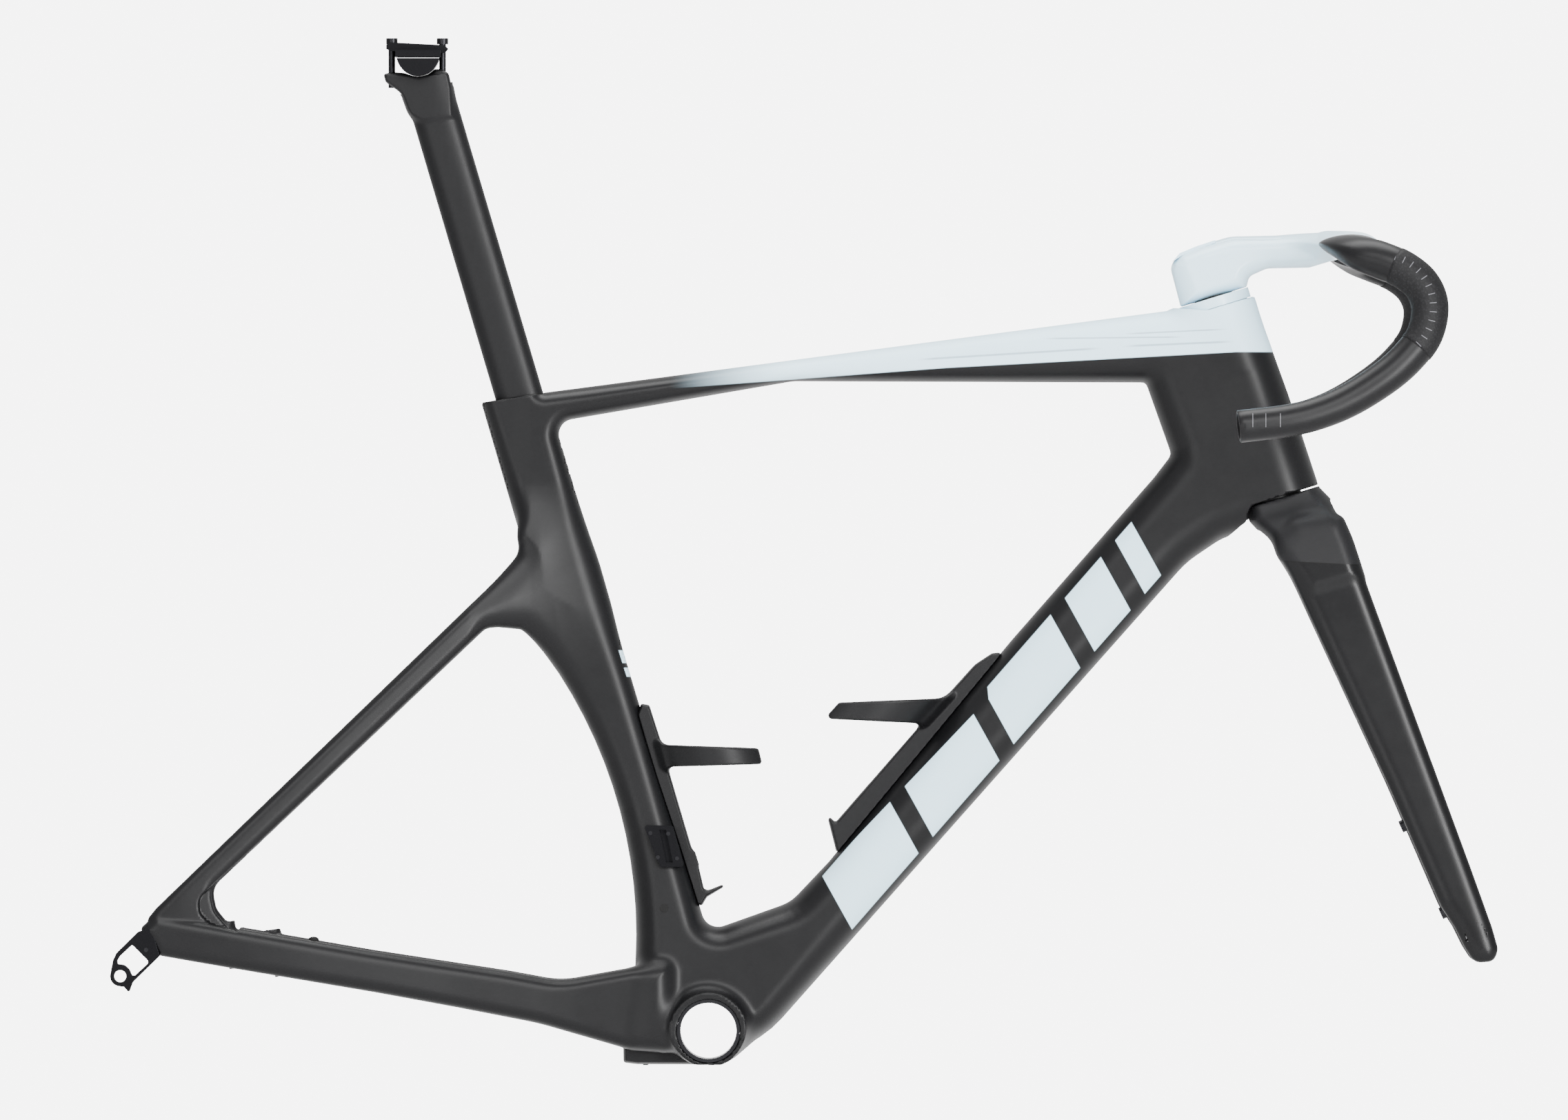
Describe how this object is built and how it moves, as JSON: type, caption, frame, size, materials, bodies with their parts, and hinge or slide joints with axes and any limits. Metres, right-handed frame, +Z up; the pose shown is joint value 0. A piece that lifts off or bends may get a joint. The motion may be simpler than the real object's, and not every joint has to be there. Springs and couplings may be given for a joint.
{
  "type": "bicycle frame",
  "caption": "Aero road frameset with deep hollow tubes, turning fork, integrated wing cockpit, sliding seatpost with tilting saddle clamp, and bottle cages.",
  "frame": {"origin": "centre of the bottom bracket bore", "axes": "+X forward, +Y to the rider's left, +Z up"},
  "size_m": [1.0141, 0.4476, 0.7519],
  "materials": {
    "frame_paint": "satin black and pale blue-white painted carbon",
    "carbon_matte": "matte black carbon",
    "black_metal": "black anodised",
    "steel": "steel",
    "alloy": "machined",
    "black_rubber": "matte",
    "black_plastic": "moulded"
  },
  "bodies": {
    "frame": {"head_tube": "frame_paint", "head_gusset": "frame_paint", "top_tube": "frame_paint", "down_tube": "frame_paint", "seat_tube": "frame_paint", "bb_junction": "frame_paint", "seat_cluster": "frame_paint", "seatstay_left": "frame_paint", "seatstay_right": "frame_paint", "chainstay_left": "frame_paint", "chainstay_right": "frame_paint", "dropout_left": "frame_paint", "dropout_right": "frame_paint", "bb_sleeve": "alloy", "rear_axle_insert": "alloy", "rear_brake_inserts": "alloy", "derailleur_hanger": "black_metal", "hanger_bolt": "steel", "front_derailleur_mount": "black_metal", "derailleur_mount_screws": "steel", "wire_port_plug": "black_rubber", "bottom_port_cover": "black_plastic", "port_cover_screws": "steel", "rear_hose_plug": "black_rubber", "clamp_shoe": "alloy", "clamp_wedge": "alloy", "clamp_bolt": "steel", "post_seal": "black_rubber", "down_tube_cage": "black_plastic", "seat_tube_cage": "black_plastic", "cage_bolts": "steel", "bottle_bosses": "alloy", "upper_bearing_outer": "steel", "upper_bearing_balls": "steel", "lower_bearing_outer": "steel", "lower_bearing_balls": "steel", "headset_cover": "black_metal"},
    "steering": {"steerer": "carbon_matte", "fork_crown": "frame_paint", "fork_blade_left": "frame_paint", "fork_blade_right": "frame_paint", "front_axle_insert": "alloy", "front_brake_inserts": "alloy", "stem": "carbon_matte", "stem_clamp_bolts": "steel", "stem_top_cover": "black_plastic", "bar_tops": "carbon_matte", "bar_drop_left": "carbon_matte", "bar_drop_right": "carbon_matte", "expander": "alloy", "preload_bolt": "steel", "top_cap": "black_metal", "compression_ring": "black_metal", "upper_bearing_inner": "steel", "lower_bearing_inner": "steel"},
    "seatpost": {"seatpost": "carbon_matte"},
    "saddle_clamp": {"saddle_cradle": "black_metal", "saddle_rail_clamp": "black_metal", "saddle_clamp_bolts": "steel", "saddle_barrel_nuts": "steel"}
  },
  "joints": [
    {"name": "steering_turn", "type": "hinge", "parent": "frame", "child": "steering", "pos_m": [0.372, 0, 0.5297], "axis": [-0.2924, 0, 0.9563], "range_deg": [-60, 60]},
    {"name": "seatpost_slide", "type": "slide", "parent": "frame", "child": "seatpost", "axis": [-0.284, 0, 0.9588], "range_m": [-0.1, 0.03]},
    {"name": "saddle_clamp_tilt", "type": "hinge", "parent": "seatpost", "child": "saddle_clamp", "pos_m": [-0.2127, 0, 0.7145], "axis": [0, 1, 0], "range_deg": [-10, 10]}
  ]
}
